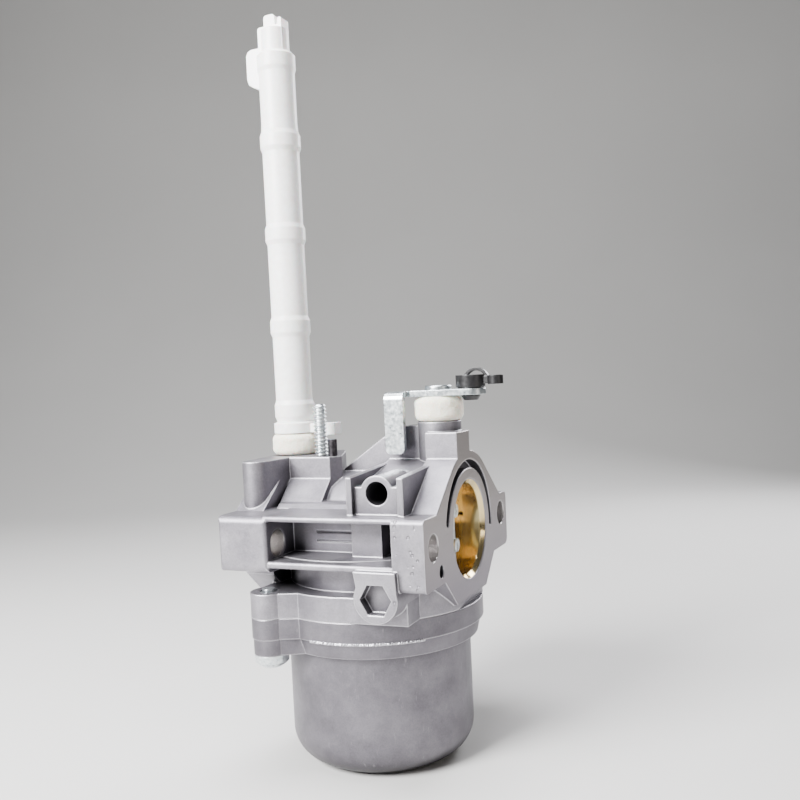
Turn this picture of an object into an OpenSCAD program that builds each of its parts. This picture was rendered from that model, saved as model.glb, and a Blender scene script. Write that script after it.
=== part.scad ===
// Small-engine carburetor with a tall choke stem.
// Frame: the origin is the centre of the outlet bore on the engine-side flange face,
// +X runs out of that face, +Z is up and -Y is the front with the plugged boss.

/* [Flanges] */
// distance between the two long stud holes
stud_spacing = 56; // [54:0.5:58]
// radius of a stud hole
stud_hole_r = 3.5; // [3.2:0.1:3.6]
// radius of the arch of each flange about the bore
flange_arch_r = 21.5; // [21:0.25:22.5]
// thickness of the engine-side flange
engine_flange_t = 8.7; // [8.5:0.1:9]
// face to face length of the body along the bore
body_length = 58.9; // [58:0.1:60]

/* [Bore] */
// radius of the outlet bore at the throttle
throttle_bore_r = 12.5; // [12.2:0.1:12.8]
// radius of the inlet bore at the choke
choke_bore_r = 14; // [13.6:0.1:14.2]
// radius of the venturi throat
venturi_r = 10; // [9.5:0.1:10.5]

/* [Shafts] */
// distance of the throttle shaft behind the engine-side face
throttle_x = 7.7; // [7.5:0.1:8]
// radius of the two shafts
shaft_r = 3; // [2.8:0.05:3.1]
// radial running clearance of a shaft in its hole
shaft_gap = 0.04; // [0.03:0.01:0.06]
// height of the top of the throttle tower
throttle_tower_z = 29.75; // [29.5:0.05:30.5]
// height of the top of the choke pad
choke_pad_z = 21; // [20.5:0.1:21.5]
// height of the tip of the choke stem
stem_top_z = 147.2; // [146:0.2:150]

/* [Float bowl] */
// distance of the bowl axis behind the engine-side face
bowl_x = 28.85; // [28.5:0.05:29]
// radius of the bowl flange
bowl_flange_r = 30; // [29.5:0.25:30.5]
// radius of the bowl cup
bowl_r = 26; // [25.5:0.1:26.2]
// depth of the bowl bottom below the bore axis
bowl_bottom = 64; // [62:0.5:66]

/* [Hidden] */

cast_grey = [0.62, 0.62, 0.66];
zinc_white = [0.80, 0.83, 0.86];
nylon_white = [0.95, 0.95, 0.93];
foam_white = [0.92, 0.90, 0.82];
clip_black = [0.08, 0.08, 0.08];
brass_gold = [0.83, 0.66, 0.32];
rubber_black = [0.12, 0.12, 0.12];

eps = 0.05;

// flanges
ear_y = stud_spacing / 2 + 6;
ear_top = 7.8;
far_ear_top = 5.9;
ear_bottom = -10.3;
ear_edge_r = 1.2;
far_ear_r = 2.2;
flange_bottom = -18.3;
shoulder_y = 25;
far_shoulder_y = 27.4;
shoulder_a = 38;
lower_y = 20.5;
foot_y = 12;
air_flange_t = 8.7;
air_ear_len = 14.7;
air_ear_bottom = -7.1;
air_ear_r = 1.9;
air_lower_y = 21.5;
air_foot_y = 12.7;
air_x = -body_length;
groove_r = 17.8;
groove_w = 2.4;
groove_depth = 3;
groove_from = -3;
groove_to = 166;
vent_y = -23;
vent_z = -6.9;
vent_r = 1.7;

// barrel, rails and window
barrel_r = 16.5;
rail_top = 7.9;
rail_top_under = 6.4;
rail_low_top = -4;
rail_low = -5.8;
rail_front = -33.6;
rail_round = 0.7;
window_wall_y = 19.7;
pad_round_r = 30.6;
rail_left = air_x + air_ear_len;
rail_right = -engine_flange_t;

// float chamber of the body
parting_z = -20;
body_flange_top = -13.3;
chamber_r = 24.5;
chamber_in_r = 22;
chamber_roof = -9;
lug_r = 5;
lug_d = 33.6;
lug_front_a = -125.4;
lug_rear_a = 67;
bowl_screw_r = 2.5;
lug_neck_a = 18;
step_z = -25.6;
corner_x = -7.4;
corner_y = -28.7;
mount_right = -0.5;

// bosses on the front
hex_x = -12.9;
hex_z = -11.9;
hex_boss_r = 5.9;
hex_front = -35.6;
hex_flat_r = 4.3;
hex_depth = 3;
port_x = -14.7;
port_z = 13.4;
port_r = 3.05;
port_front = -28;
port_depth = 15;

// towers
tower_r = 6;
web_front = -3;
web_t = 4.5;
choke_x = -53.2;
post_x = -54.6;
post_y = -20.9;
post_r = 3.5;
stud_x = -40.9;
stud_y = -7.5;
stud_r = 2;
stud_top = 35.7;
stud_root = 9;
pin_x = -37.3;
pin_r = 1.3;
pin_top = 25.7;

// lever and clip
lever_z = 36.7;
lever_t = 1.6;
clip_x = 1.75;
clip_hole_r = 2.2;
tab_x0 = -20.9;
tab_w = 5.6;
tab_bottom = 21.3;
bend_y = -5.4;
bend_in_r = 0.6;
head_r = 3.7;
head_top = 39.6;
clip_ring_x = 8.8;

// seals
throttle_seal_r = 6.85;
choke_seal_r = 7.1;
seal_round = 1.7;
seal_bore_r = 3.3;
seal_gap = 0.1;

// plates
plate_t = 0.8;
throttle_plate_r = throttle_bore_r - 0.08;
choke_plate_r = choke_bore_r - 0.12;
slot_half = 12.6;
choke_slot_half = 14.1;

// stem
stem_r = 5.35;
stem_top_r = 5.2;
stem_ring_r = 5.85;
collar_r = 6.3;
stem_rings = [34, 58.4, 85, 111.5];
stem_base = 27.4;
arm_len = 14.1;

// inside of the bowl
pedestal_r = 5;
pedestal_end = -50;
nozzle_r = 2.6;
jet_r = 3;
hinge_y = 18.5;
hinge_z = -22.5;
needle_y = 12.5;
float_hang = 8;
float_in_r = 9.5;
float_out_r = 20.5;
inlet_z = -11.5;
seat_r = 3.6;
seat_low = -19;
seat_top = -12.2;
pilot_x = -20;
pilot_y = -18.6;

// ---------- helpers ----------

// sweeps a Y-Z outline along +X
module along_x(x0, len)
{
    translate([x0, 0, 0])
        rotate([90, 0, 90])
            linear_extrude(len)
                children();
}

// sweeps an X-Z outline along Y
module along_y(y0, len)
{
    translate([0, y0 + len, 0])
        rotate([90, 0, 0])
            linear_extrude(len)
                children();
}

module box(x0, x1, y0, y1, z0, z1)
{
    translate([x0, y0, z0])
        cube([x1 - x0, y1 - y0, z1 - z0]);
}

// rod whose axis runs along X
module rod_x(x0, len, r)
{
    translate([x0, 0, 0])
        rotate([0, 90, 0])
            cylinder(r = r, h = len, $fn = 96);
}

// rod whose axis runs along Y
module rod_y(x, z, y0, len, r)
{
    translate([x, y0, z])
        rotate([-90, 0, 0])
            cylinder(r = r, h = len, $fn = 64);
}

module rod_z(x, y, z0, z1, r)
{
    translate([x, y, z0])
        cylinder(r = r, h = z1 - z0, $fn = 64);
}

module rounded_rect(x0, x1, y0, y1, r)
{
    translate([x0 + r, y0])
        square([x1 - x0 - 2 * r, y1 - y0]);
    translate([x0, y0 + r])
        square([x1 - x0, y1 - y0 - 2 * r]);
    for (x = [x0 + r, x1 - r])
        for (y = [y0 + r, y1 - r])
            translate([x, y])
                circle(r = r, $fn = 32);
}

// round lug joined to a round flange by a short neck with straight sides
module necked_lug(big_r, small_r, d)
{
    in_r = big_r - 1;
    neck_w = small_r - 0.9;
    translate([d, 0])
        circle(r = small_r, $fn = 64);
    polygon([[in_r * cos(lug_neck_a), in_r * sin(lug_neck_a)], [d + 1, neck_w], [d + 1, -neck_w],
        [in_r * cos(lug_neck_a), -in_r * sin(lug_neck_a)]]);
}

// ---------- body ----------

module flange_core_outline(low_y, low_z, toe_y, top_z)
{
    arch_y = flange_arch_r * sin(shoulder_a);
    arch_z = flange_arch_r * cos(shoulder_a);
    intersection() {
        circle(r = flange_arch_r, $fn = 120);
        translate([-40, flange_bottom])
            square([80, top_z - flange_bottom]);
    }
    polygon([[-shoulder_y, ear_top], [-arch_y, arch_z], [arch_y, arch_z],
        [far_shoulder_y, far_ear_top], [low_y, low_z], [toe_y, flange_bottom],
        [-toe_y, flange_bottom], [-low_y, low_z]]);
}

// the front ear stands a little higher than the rear one
module ear_outline(bottom, edge_r)
{
    rounded_rect(-ear_y, -15, bottom, ear_top, edge_r);
    rounded_rect(15, ear_y, bottom, far_ear_top, far_ear_r);
}

module flanges()
{
    along_x(-engine_flange_t, engine_flange_t) {
        flange_core_outline(lower_y, ear_bottom, foot_y, flange_arch_r);
        ear_outline(ear_bottom, ear_edge_r);
    }
    along_x(air_x, air_flange_t)
        flange_core_outline(air_lower_y, ear_bottom, air_foot_y, choke_pad_z);
    // the air-side ears are rounded on their upright edges too
    intersection() {
        along_x(air_x, air_ear_len)
            ear_outline(air_ear_bottom, air_ear_r);
        translate([0, 0, -20])
            linear_extrude(40)
                rounded_rect(air_x, rail_left, -ear_y, ear_y, 1);
    }
}

module rails()
{
    along_x(rail_left - 1, rail_right - rail_left + 2) {
        rounded_rect(rail_front, -12, rail_top_under, rail_top, rail_round);
        rounded_rect(12, -rail_front, far_ear_top - 1.5, far_ear_top, rail_round);
        rounded_rect(rail_front, -12, rail_low, rail_low_top, rail_round);
        rounded_rect(12, -rail_front, rail_low, rail_low_top, rail_round);
    }
    // low round step on the lower rails, in line with the bowl flange
    intersection() {
        translate([-bowl_x, 0, rail_low + 0.5])
            cylinder(r = pad_round_r, h = rail_low_top - rail_low - 0.28, $fn = 160);
        box(rail_left - 0.5, rail_right, rail_front + 0.4, -rail_front - 0.4, rail_low, 0);
    }
    // walls at the back of the windows, with two shallow grooves
    difference() {
        union() {
            box(rail_left - 1, -24, -window_wall_y, 0, rail_low, rail_top_under + 0.3);
            box(rail_left - 1, -24, 0, window_wall_y, rail_low, far_ear_top - 0.5);
        }
        for (s = [-1, 1])
            for (z = [-1.1, 1.4])
                box(-37, -24.2, s * window_wall_y - 0.5, s * window_wall_y + 0.5, z, z + 0.65);
    }
    // blocks beside the engine-side ears
    box(-24.2, -15.6, -24.35, -10, rail_low, rail_top_under + 0.5);
    box(-24.2, -15.6, 10, 24.35, rail_low, far_ear_top - 0.5);
}

module barrel()
{
    rod_x(air_x + 1, body_length - 2, barrel_r);
    // shoulder band beside the barrel
    along_x(-49, 26)
        polygon([[-19.8, 6.5], [-19.8, 7.9], [-18.6, 8.9], [-17, 9.3], [17, 9.3], [18.6, 8.9],
            [19.8, 7.9], [19.8, 5]]);
}

module choke_tower()
{
    translate([0, 0, ear_top - 0.5])
        linear_extrude(choke_pad_z - ear_top + 0.5) {
            polygon([[air_x, -5], [post_x - post_r, post_y], [post_x + post_r, post_y],
                [-49.5, -11], [-36.7, -11], [-34.8, -7], [-41.1, 8], [-43, 11], [air_x, 11]]);
            translate([post_x, post_y])
                circle(r = post_r, $fn = 64);
        }
    // slope from the pad down to the barrel shoulder
    along_x(-49.5, 12.8)
        polygon([[-10, 15], [-11, 15], [-17, 9.2], [-17, 6.5], [-10, 6.5]]);
}

module throttle_tower()
{
    rod_z(-throttle_x, 0, 0, throttle_tower_z, tower_r);
    box(-9, 0, -8, 2, 12, 27);
    along_y(web_front, web_t)
        polygon([[-37.5, 12], [-36.8, 16.5], [-23.5, 25.7], [-16.2, 28.8], [-8, 28.8], [-8, 12]]);
}

module front_port()
{
    // side ribs
    along_x(-22.6, 1.5)
        polygon([[-29.5, 7], [-29.5, 17.5], [-2, 18.85], [-2, 7]]);
    along_x(-8.5, 1.6)
        polygon([[-29.5, 7], [-29.5, 17.4], [-7, 18.7], [-7, 7]]);
    // roof behind the boss
    along_x(-22, 14)
        polygon([[-20, 7], [-20, 15.2], [-2, 19.8], [-2, 7]]);
    box(-20.9, -9, port_front, -15, 7, 15);
    rod_y(port_x, port_z, port_front, 14, 4.5);
}

module hex_boss()
{
    rod_y(hex_x, hex_z, hex_front, 16, hex_boss_r);
    along_y(hex_front, 14)
        polygon([[-18.7, -5], [-17.9, -9.7], [-18, hex_z], [-7.3, hex_z], [-7.3, -9], [-7.5, -5]]);
    // corner block under the front ear
    box(-16, corner_x, corner_y, -18, parting_z, -9);
}

module lugs_outline(flange_r, r)
{
    for (a = [lug_front_a, lug_rear_a])
        rotate(a)
            necked_lug(flange_r, r, lug_d);
}

module bowl_mount_outline()
{
    circle(r = bowl_flange_r, $fn = 160);
    lugs_outline(bowl_flange_r, lug_r);
}

module float_chamber_shell()
{
    translate([-bowl_x, 0, body_flange_top - 1])
        cylinder(r = chamber_r, h = rail_low - body_flange_top + 1.5, $fn = 128);
    translate([-bowl_x, 0, parting_z])
        linear_extrude(body_flange_top - parting_z)
            intersection() {
                union() {
                    bowl_mount_outline();
                    polygon([[-1, -30], [bowl_x - 9.7, corner_y], [bowl_x + corner_x, corner_y],
                        [bowl_x + corner_x, -15], [-1, -15]]);
                }
                // stays behind the engine-side face
                translate([-50, -50])
                    square([50 + bowl_x + mount_right, 100]);
            }
}

module float_chamber_cut()
{
    difference() {
        translate([-bowl_x, 0, parting_z - 1])
            cylinder(r = chamber_in_r, h = chamber_roof - parting_z + 1, $fn = 128);
        rod_x(-60, 60, barrel_r);
        rod_z(-throttle_x, 0, -30, 0, 5.4);
        rod_z(choke_x, 0, -30, 0, 5.4);
    }
}

module float_chamber_bosses()
{
    // nozzle pedestal
    rod_z(-bowl_x, 0, pedestal_end, -12, pedestal_r);
    // seat boss and its feed
    rod_z(-bowl_x, needle_y, -17.8, -8, 5);
    rod_y(-bowl_x, inlet_z, needle_y, 12, 3.8);
    box(-bowl_x - 4.7, -bowl_x + 4.7, 22.7, 33.2, -17.6, -6.9);
    // pilot jet boss
    rod_z(pilot_x, pilot_y, -17.5, chamber_roof + 1, 3.3);
    // hinge posts
    for (x = [-bowl_x - 9.5, -bowl_x + 7])
        box(x, x + 2.5, hinge_y - 1.8, hinge_y + 1.8, hinge_z - 1.8, chamber_roof + 1);
}

module bore_cut()
{
    rotate([0, 90, 0])
        rotate_extrude($fn = 160)
            polygon([[0, air_x - 1], [choke_bore_r + 2, air_x - 1], [choke_bore_r + 1, air_x],
                [choke_bore_r, air_x + 1], [choke_bore_r, -42], [venturi_r, -33], [venturi_r, -27],
                [throttle_bore_r, -15], [throttle_bore_r, -1.3], [throttle_bore_r + 1.3, 0],
                [throttle_bore_r + 2.3, 1], [0, 1]]);
}

module flange_cuts()
{
    for (s = [-1, 1]) {
        translate([0, s * stud_spacing / 2, 0])
            rod_x(air_x - 1, body_length + 2, stud_hole_r);
        // broken edge where the hole opens into the window
        translate([rail_left - 0.35, s * stud_spacing / 2, 0])
            rotate([0, 90, 0])
                cylinder(r1 = stud_hole_r, r2 = stud_hole_r + 0.45, h = 0.45, $fn = 64);
    }
    // curved clearance groove round the upper half of the outlet
    translate([eps, 0, 0])
        rotate([0, -90, 0])
            rotate([0, 0, 90 - groove_to])
                rotate_extrude(angle = groove_to - groove_from, $fn = 160)
                    translate([groove_r - groove_w / 2, 0])
                        square([groove_w, groove_depth]);
    for (a = [groove_from, groove_to])
        translate([eps - groove_depth + 0.1, groove_r * cos(a), groove_r * sin(a)])
            rotate([0, 90, 0])
                cylinder(r = groove_w / 2 - 0.05, h = groove_depth - 0.1, $fn = 32);
    translate([-5, vent_y, vent_z]) {
        rod_x(0, 6, vent_r - 0.7);
        rod_x(3.6, 2, vent_r);
    }
    // idle port in the far wall of the outlet
    rod_y(-6.9, 2, 9, 8, 0.5);
}

module body_holes()
{
    rod_z(-throttle_x, 0, -16, throttle_tower_z + 1, shaft_r + shaft_gap);
    rod_z(choke_x, 0, -18, choke_pad_z + 1, shaft_r + shaft_gap);
    rod_z(stud_x, stud_y, stud_root, choke_pad_z + 1, stud_r - 0.3);
    rod_z(pin_x, stud_y, choke_pad_z - 8, choke_pad_z + 1, pin_r);
    rod_y(port_x, port_z, port_front - 1, port_depth + 1, port_r);
    translate([hex_x, hex_front - 1, hex_z])
        rotate([-90, 0, 0])
            cylinder(r = hex_flat_r, h = hex_depth + 1, $fn = 6);
    for (a = [lug_front_a, lug_rear_a])
        rod_z(-bowl_x + lug_d * cos(a), lug_d * sin(a), parting_z - 1, body_flange_top + 1, bowl_screw_r);
    // fuel passages
    rod_z(-bowl_x, needle_y, -30, seat_top, seat_r);
    rod_z(-bowl_x, needle_y, seat_top - 1, inlet_z + 0.5, 1.6);
    rod_y(-bowl_x, inlet_z, needle_y, 20, 1.6);
    rod_y(-bowl_x, inlet_z, 23, 11, 3);
    rod_z(-bowl_x, 0, pedestal_end - 1, pedestal_end + 4.5, jet_r);
    rod_z(-bowl_x, 0, pedestal_end + 4, -5, nozzle_r);
    rod_z(pilot_x, pilot_y, -30, -10.5, 2.1);
    // hinge pin holes
    translate([0, hinge_y, hinge_z])
        rod_x(-bowl_x - 12, 24, 1);
}

module carburetor_body()
{
    color(cast_grey)
        difference() {
            union() {
                difference() {
                    union() {
                        flanges();
                        rails();
                        barrel();
                        choke_tower();
                        throttle_tower();
                        front_port();
                        hex_boss();
                        float_chamber_shell();
                        rod_z(-throttle_x, 0, parting_z, -8, 5.4);
                        rod_z(choke_x, 0, parting_z, -8, 5.4);
                    }
                    float_chamber_cut();
                }
                float_chamber_bosses();
            }
            bore_cut();
            flange_cuts();
            body_holes();
        }
}

// ---------- bowl ----------

module cup_profile(r, bottom, corner)
{
    translate([0, -bottom])
        square([r - corner, bottom]);
    translate([0, -bottom + corner])
        square([r, bottom - corner]);
    translate([r - corner, -bottom + corner])
        circle(r = corner, $fn = 96);
}

module float_bowl()
{
    color(cast_grey)
        difference() {
            union() {
                translate([-bowl_x, 0, 0])
                    rotate_extrude($fn = 160)
                        intersection() {
                            cup_profile(bowl_r, bowl_bottom, 8.5);
                            translate([0, -bowl_bottom - 1])
                                square([60, bowl_bottom + 1 - 25]);
                        }
                translate([-bowl_x, 0, step_z])
                    linear_extrude(parting_z - step_z)
                        bowl_mount_outline();
                // lower half of the flange, drawn in below a small step
                translate([-bowl_x, 0, -30]) {
                    cylinder(r1 = bowl_flange_r - 1.7, r2 = bowl_flange_r - 0.7,
                        h = step_z + 30.1, $fn = 160);
                    linear_extrude(step_z + 30.1)
                        lugs_outline(bowl_flange_r - 1.7, lug_r - 0.25);
                }
            }
            translate([-bowl_x, 0, 0])
                rotate_extrude($fn = 128)
                    cup_profile(bowl_r - 2.2, bowl_bottom - 2.2, 6.3);
            // gasket groove
            translate([-bowl_x, 0, parting_z - 1.2])
                difference() {
                    cylinder(r = 27, h = 3, $fn = 128);
                    translate([0, 0, -1])
                        cylinder(r = 25, h = 5, $fn = 128);
                }
            for (a = [lug_front_a, lug_rear_a])
                rod_z(-bowl_x + lug_d * cos(a), lug_d * sin(a), -31, -19, bowl_screw_r + 0.25);
        }
}

module bowl_gasket()
{
    color(rubber_black)
        translate([-bowl_x, 0, parting_z - 1.2])
            difference() {
                cylinder(r = 27, h = 1.2, $fn = 128);
                translate([0, 0, -1])
                    cylinder(r = 25, h = 4, $fn = 128);
            }
}

module bowl_screws()
{
    color(zinc_white)
        for (a = [lug_front_a, lug_rear_a])
            translate([-bowl_x + lug_d * cos(a), lug_d * sin(a), 0]) {
                rod_z(0, 0, -31, -13.6, bowl_screw_r);
                rod_z(0, 0, -14, -12.6, bowl_screw_r - 0.75);
                difference() {
                    intersection() {
                        rod_z(0, 0, -33.9, -30.7, 4.5);
                        translate([0, 0, -28.2])
                            sphere(r = 6, $fn = 64);
                    }
                    // cross recess
                    box(-2.4, 2.4, -0.45, 0.45, -35, -32.2);
                    box(-0.45, 0.45, -2.4, 2.4, -35, -32.2);
                }
            }
}

module bowl_screw_washers()
{
    color(zinc_white)
        for (a = [lug_front_a, lug_rear_a])
            translate([-bowl_x + lug_d * cos(a), lug_d * sin(a), -30.7])
                difference() {
                    cylinder(r = 4.7, h = 0.7, $fn = 64);
                    translate([0, 0, -1])
                        cylinder(r = bowl_screw_r, h = 3, $fn = 64);
                }
}

// ---------- throttle ----------

module pan_head(r, h, edge)
{
    rotate_extrude($fn = 96) {
        square([r - edge, h]);
        square([r, h - edge]);
        translate([r - edge, h - edge])
            circle(r = edge, $fn = 48);
    }
}

module throttle_shaft()
{
    color(zinc_white)
        translate([-throttle_x, 0, 0])
            difference() {
                union() {
                    rod_z(0, 0, -15.6, lever_z + lever_t, shaft_r);
                    // flat head with a rounded edge
                    translate([0, 0, lever_z + lever_t])
                        pan_head(head_r, head_top - lever_z - lever_t, 0.6);
                }
                box(-plate_t / 2, plate_t / 2, -4, 4, -slot_half, slot_half);
                // seats and holes of the plate screws
                box(2.6, 4, -4, 4, -7.4, 7.4);
                for (z = [-4.8, 4.8])
                    translate([-4, 0, z])
                        rod_x(0, 8, 1);
            }
}

module throttle_plate()
{
    color(brass_gold)
        translate([-throttle_x, 0, 0])
            difference() {
                rod_x(-plate_t / 2, plate_t, throttle_plate_r);
                for (z = [-4.8, 4.8])
                    translate([-4, 0, z])
                        rod_x(0, 8, 1);
            }
}

module throttle_plate_screws()
{
    color(zinc_white)
        for (z = [-4.8, 4.8])
            translate([-throttle_x, 0, z])
                difference() {
                    union() {
                        rod_x(-2.7, 5.4, 1);
                        rod_x(2.6, 1.1, 1.9);
                    }
                    box(3.2, 4, -0.3, 0.3, -3, 3);
                }
}

module throttle_lever()
{
    bend_z = lever_z - bend_in_r;
    tab_front = bend_y - bend_in_r - lever_t;
    color(zinc_white) {
        difference() {
            translate([0, 0, lever_z])
                linear_extrude(lever_t) {
                    translate([-throttle_x, 0])
                        circle(r = 5.2, $fn = 64);
                    translate([clip_x, 0])
                        circle(r = 4.15, $fn = 64);
                    polygon([[-throttle_x, -5.2], [clip_x + 0.3, -4.13], [clip_x + 0.3, 4.13],
                        [-throttle_x, 5.2]]);
                    polygon([[tab_x0, bend_y], [tab_x0 + tab_w, bend_y], [-9, -5],
                        [-9, 4.6], [-12, 3.2], [tab_x0, -1.5]]);
                }
            rod_z(-throttle_x, 0, lever_z - 1, lever_z + 3, shaft_r);
            rod_z(clip_x, 0, lever_z - 1, lever_z + 3, clip_hole_r);
            // bend relief
            rod_z(tab_x0 + tab_w + 0.4, bend_y, lever_z - 1, lever_z + 3, 0.9);
        }
        // round bend
        intersection() {
            translate([0, bend_y, bend_z])
                difference() {
                    rod_x(tab_x0, tab_w, bend_in_r + lever_t);
                    rod_x(tab_x0 - 1, tab_w + 2, bend_in_r);
                }
            box(tab_x0 - 1, tab_x0 + tab_w + 1, bend_y - 4, bend_y, bend_z, bend_z + 4);
        }
        // stop tab hanging in front of the web
        along_y(tab_front, lever_t) {
            translate([tab_x0, tab_bottom + 1.4])
                square([tab_w, bend_z - tab_bottom - 1.4]);
            translate([tab_x0 + 1.4, tab_bottom])
                square([tab_w - 2.8, 3]);
            for (x = [tab_x0 + 1.4, tab_x0 + tab_w - 1.4])
                translate([x, tab_bottom + 1.4])
                    circle(r = 1.4, $fn = 32);
        }
    }
}

// foam ring with soft round outer edges
module seal_ring(r, z0, z1)
{
    rotate_extrude($fn = 96) {
        translate([seal_bore_r, z0])
            square([r - seal_round - seal_bore_r, z1 - z0]);
        translate([seal_bore_r, z0 + seal_round])
            square([r - seal_bore_r, z1 - z0 - 2 * seal_round]);
        for (z = [z0 + seal_round, z1 - seal_round])
            translate([r - seal_round, z])
                circle(r = seal_round, $fn = 48);
    }
}

module throttle_shaft_seal()
{
    color(foam_white)
        translate([-throttle_x, 0, 0])
            seal_ring(throttle_seal_r, throttle_tower_z, lever_z - seal_gap);
}

module link_clip()
{
    ring_dx = clip_ring_x - clip_x;
    color(clip_black)
        translate([clip_x, 0, 0]) {
            difference() {
                union() {
                    rod_z(0, 0, 36.3, 38.5, clip_hole_r - 0.08);
                    rod_z(0, 0, 38.4, 38.9, 3.6);
                    rod_z(0, 0, 38.8, 42, 4);
                    // barb under the lever
                    translate([0, 0, 35.2])
                        cylinder(r1 = 1.9, r2 = 2.7, h = 1.3, $fn = 64);
                    // side socket for the rod
                    rod_z(ring_dx, 0, 39.3, 41.7, 2.1);
                    box(3, ring_dx, -0.9, 0.9, 39.5, 41.5);
                }
                rod_z(0, 0, 30, 45, 1.2);
                rod_z(ring_dx, 0, 38, 45, 1.1);
            }
            // curved latch over the top
            along_y(-0.8, 1.6)
                intersection() {
                    translate([1.75, 40.3])
                        difference() {
                            circle(r = 3.65, $fn = 64);
                            circle(r = 2.8, $fn = 64);
                        }
                    translate([-1.6, 40.9])
                        square([7.1, 4]);
                }
        }
}

// ---------- choke ----------

module stem_profile()
{
    ring_pts = [for (z = stem_rings)
        for (p = [[stem_r, z - 3], [stem_ring_r, z - 1.7], [stem_ring_r, z + 1.7], [stem_r, z + 3]])
            p];
    polygon(concat([[0, stem_base], [collar_r, stem_base], [collar_r, 30.3], [stem_r, 30.7]],
        ring_pts, [[stem_top_r, 117], [stem_top_r, 131], [stem_top_r + 0.35, 132.2],
        [stem_top_r + 0.35, 135.8], [stem_top_r - 0.4, 136.6], [0, 136.6]]));
}

module choke_shaft()
{
    color(nylon_white)
        translate([choke_x, 0, 0]) {
            difference() {
                rod_z(0, 0, -17.5, 28, shaft_r);
                box(-plate_t / 2, plate_t / 2, -4, 4, -choke_slot_half, choke_slot_half);
            }
            rotate_extrude($fn = 96)
                stem_profile();
            // stop arm
            box(0, arm_len, -2.1, 2.1, stem_base, 30);
            box(8.6, arm_len, -2.1, 2.1, 26.6, 28);
            // key fin and stepped tip
            along_y(-1.9, 3.8)
                polygon([[-4, 126.6], [-7, 127.9], [-8.3, 128.8], [-8.8, 130.2], [-8.8, 137],
                    [-8.2, 138.1], [-7.1, 138.6], [-4, 138.6]]);
            along_y(-2, 4) {
                rounded_rect(-4.5, 3.5, 134, 144.2, 0.8);
                rounded_rect(-2.3, 1.4, 140, stem_top_z, 1);
                rounded_rect(2.2, 3.5, 140, 146, 0.5);
            }
            rod_z(0, 0, 134, 143.2, 3.9);
        }
}

module choke_shaft_seal()
{
    color(foam_white)
        translate([choke_x, 0, 0])
            seal_ring(choke_seal_r, choke_pad_z, stem_base - seal_gap);
}

module choke_plate()
{
    color(zinc_white)
        translate([choke_x, 0, 0])
            rod_x(-plate_t / 2, plate_t, choke_plate_r);
}

// ---------- posts on the choke pad ----------

module cover_stud()
{
    pitch = 1.05;
    turns = floor((stud_top - choke_pad_z - 0.6) / pitch);
    ridges = [for (i = [0 : turns - 1])
        for (p = [[stud_r - 0.45, i * pitch], [stud_r, i * pitch + 0.35],
            [stud_r, i * pitch + 0.6], [stud_r - 0.45, i * pitch + 0.95]])
            [p[0], p[1] + choke_pad_z + 0.3]];
    color(zinc_white)
        translate([stud_x, stud_y, 0])
            rotate_extrude($fn = 48)
                polygon(concat([[0, stud_root], [stud_r - 0.3, stud_root], [stud_r - 0.3, choke_pad_z]],
                    ridges, [[stud_r - 0.5, stud_top - 0.3], [stud_r - 0.9, stud_top], [0, stud_top]]));
}

module choke_stop_pin()
{
    color(zinc_white)
        rod_z(pin_x, stud_y, choke_pad_z - 8, pin_top, pin_r);
}

// ---------- inside the bowl ----------

module float_shape()
{
    translate([-bowl_x, 0, -38])
        linear_extrude(13)
            difference() {
                circle(r = float_out_r, $fn = 96);
                circle(r = float_in_r, $fn = 96);
                polygon([[0, 0], [16, 34], [-16, 34]]);
            }
    // hinge arm
    translate([-bowl_x, 0, -25.2]) {
        box(-6.4, -3.4, 6.5, hinge_y - 1.5, 0, 1.4);
        box(3.4, 6.4, 6.5, hinge_y - 1.5, 0, 1.4);
        box(-6.4, 6.4, needle_y - 2, hinge_y - 1.5, 0, 1.4);
    }
    difference() {
        union() {
            translate([0, hinge_y, hinge_z])
                rod_x(-bowl_x - 6.4, 12.8, 2);
            box(-bowl_x - 6.4, -bowl_x + 6.4, hinge_y - 2, hinge_y, -25, hinge_z);
        }
        translate([0, hinge_y, hinge_z])
            rod_x(-bowl_x - 10, 20, 1.04);
    }
}

module float()
{
    color(clip_black)
        translate([0, hinge_y, hinge_z])
            rotate([float_hang, 0, 0])
                translate([0, -hinge_y, -hinge_z])
                    float_shape();
}

module float_hinge_pin()
{
    color(zinc_white)
        translate([0, hinge_y, hinge_z])
            rod_x(-bowl_x - 9.5, 19, 1);
}

module float_needle()
{
    drop = 0.84;
    color(rubber_black)
        translate([-bowl_x, needle_y, -drop]) {
            rod_z(0, 0, -22.6, -16, 1.9);
            translate([0, 0, -16])
                cylinder(r1 = 1.9, r2 = 0.6, h = 1.7, $fn = 48);
        }
}

module needle_seat()
{
    color(brass_gold)
        translate([-bowl_x, needle_y, 0])
            difference() {
                rod_z(0, 0, seat_low, seat_top, seat_r);
                rod_z(0, 0, seat_low - 1, -14.2, 2.3);
                rod_z(0, 0, -15, seat_top + 1, 0.9);
            }
}

module main_jet()
{
    color(brass_gold)
        translate([-bowl_x, 0, 0])
            difference() {
                rod_z(0, 0, pedestal_end - 0.6, pedestal_end + 4.5, jet_r);
                rod_z(0, 0, pedestal_end - 2, pedestal_end + 6, 0.5);
                box(-4, 4, -0.4, 0.4, pedestal_end - 2, pedestal_end + 0.6);
            }
}

module main_nozzle()
{
    color(brass_gold)
        translate([-bowl_x, 0, 0])
            difference() {
                rod_z(0, 0, pedestal_end + 4.5, -3, nozzle_r);
                rod_z(0, 0, pedestal_end + 3, 0, 1.3);
            }
}

module pilot_jet()
{
    color(brass_gold)
        translate([pilot_x, pilot_y, 0])
            difference() {
                rod_z(0, 0, -18.4, -10.5, 2.1);
                rod_z(0, 0, -20, -9, 0.5);
                box(-3, 3, -0.3, 0.3, -20, -17.6);
            }
}

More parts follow.
